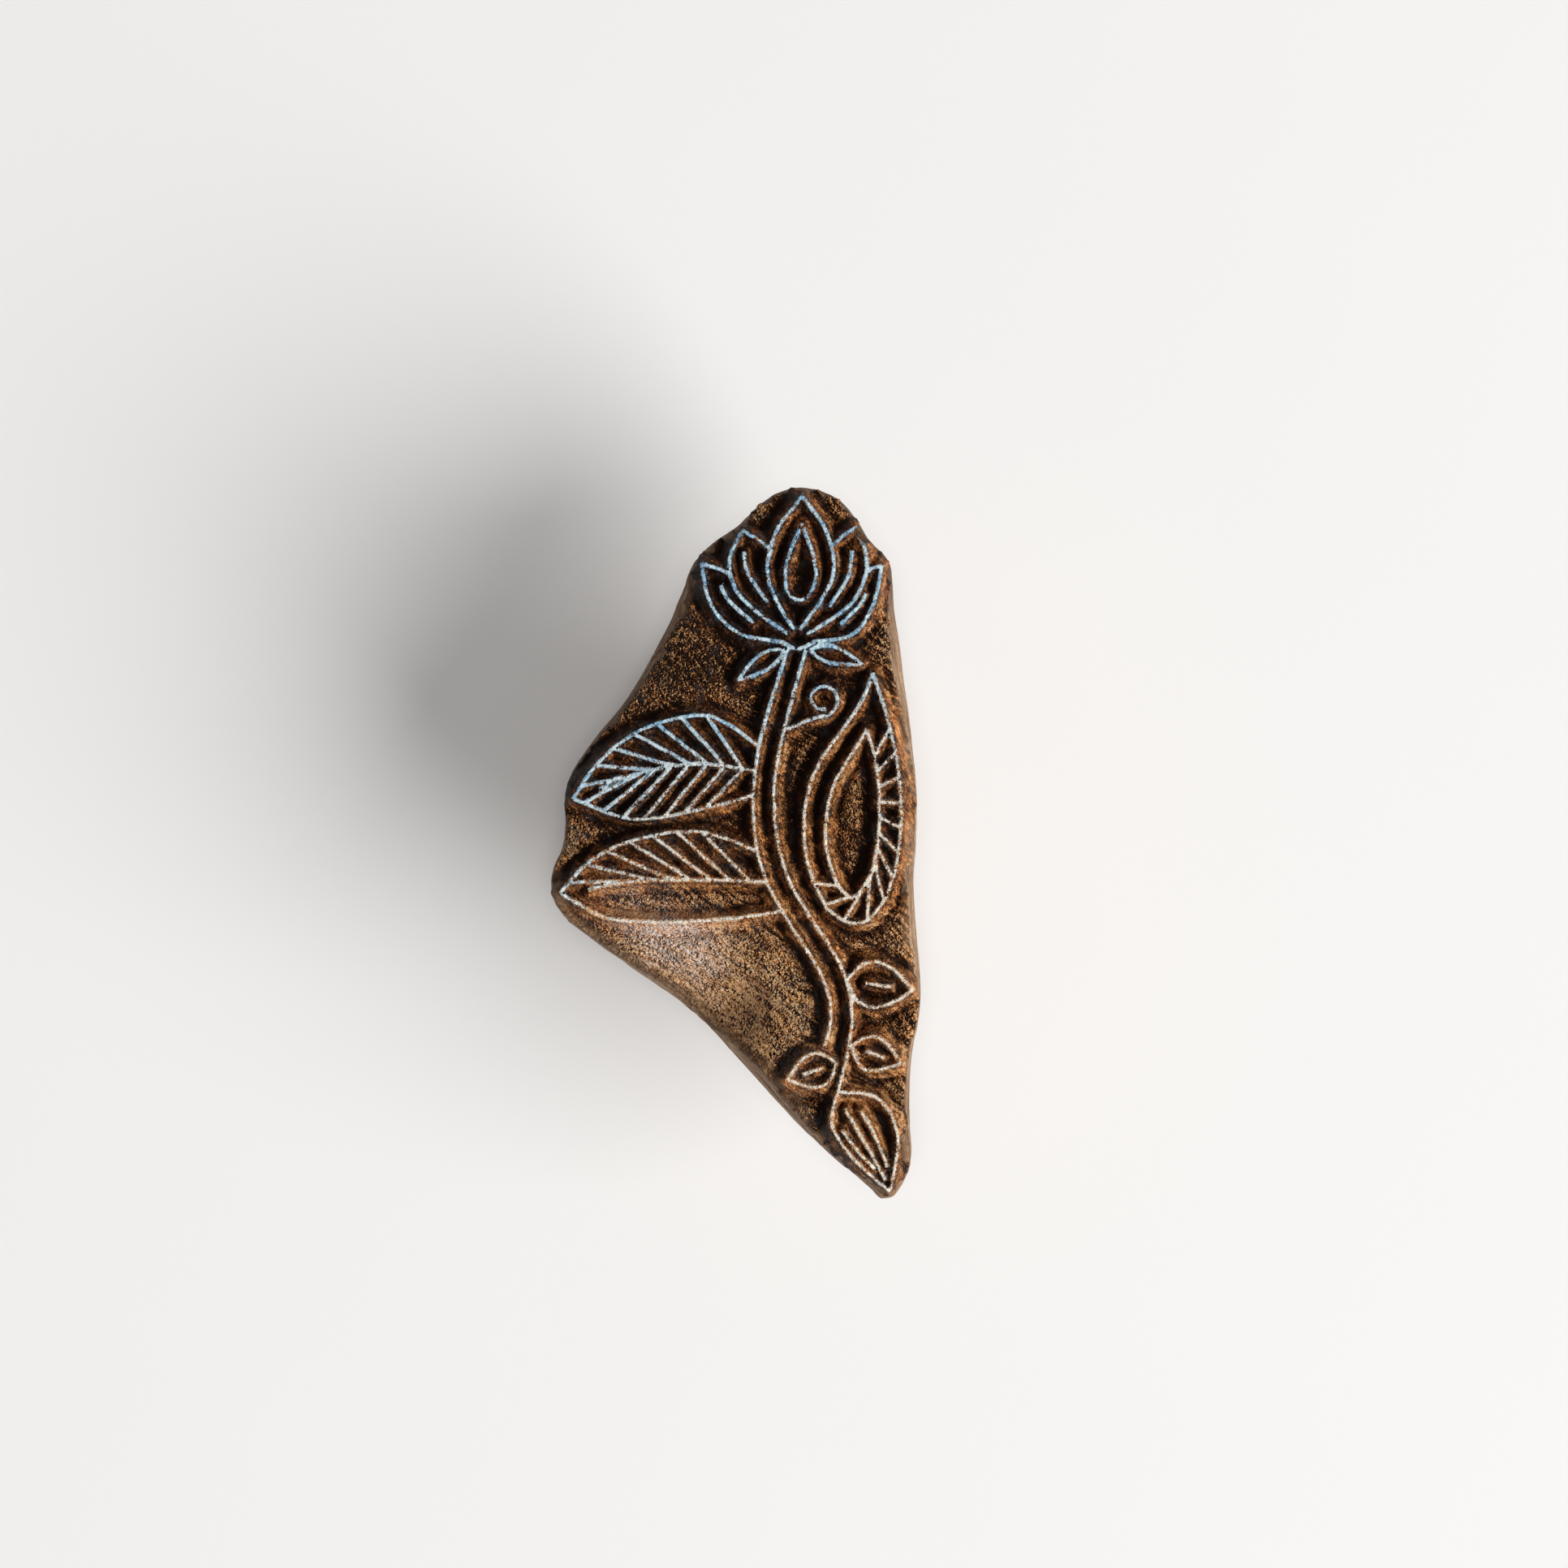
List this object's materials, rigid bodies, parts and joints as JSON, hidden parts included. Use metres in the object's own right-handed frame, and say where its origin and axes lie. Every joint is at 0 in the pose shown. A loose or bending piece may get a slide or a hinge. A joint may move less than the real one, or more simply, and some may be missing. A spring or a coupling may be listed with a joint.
{
  "type": "wooden printing block",
  "caption": "Hand-carved wooden printing block for cloth and paper, with a flower and leaves in thin raised ridges and a waisted wooden grip nailed to its flat back.",
  "frame": {"origin": "on the surface that the grip's foot rests on, below the middle of the block's bounding box", "axes": "+Z out of the carved printing face, +Y along the block's length towards the flower, +X to the right of a viewer who faces the carving with the flower at the top"},
  "size_m": [0.0473, 0.0906, 0.046],
  "materials": {
    "block_wood": "hand-cut, unsealed and darkened by use, with pale blue and cream paint left on the ridges",
    "grip_wood": "filed smooth and polished by handling",
    "nail_steel": "dull drawn wire"
  },
  "bodies": {
    "root": {"carved_block": "block_wood", "handle_grip": "grip_wood", "nail_upper": "nail_steel", "nail_lower": "nail_steel"}
  },
  "joints": []
}
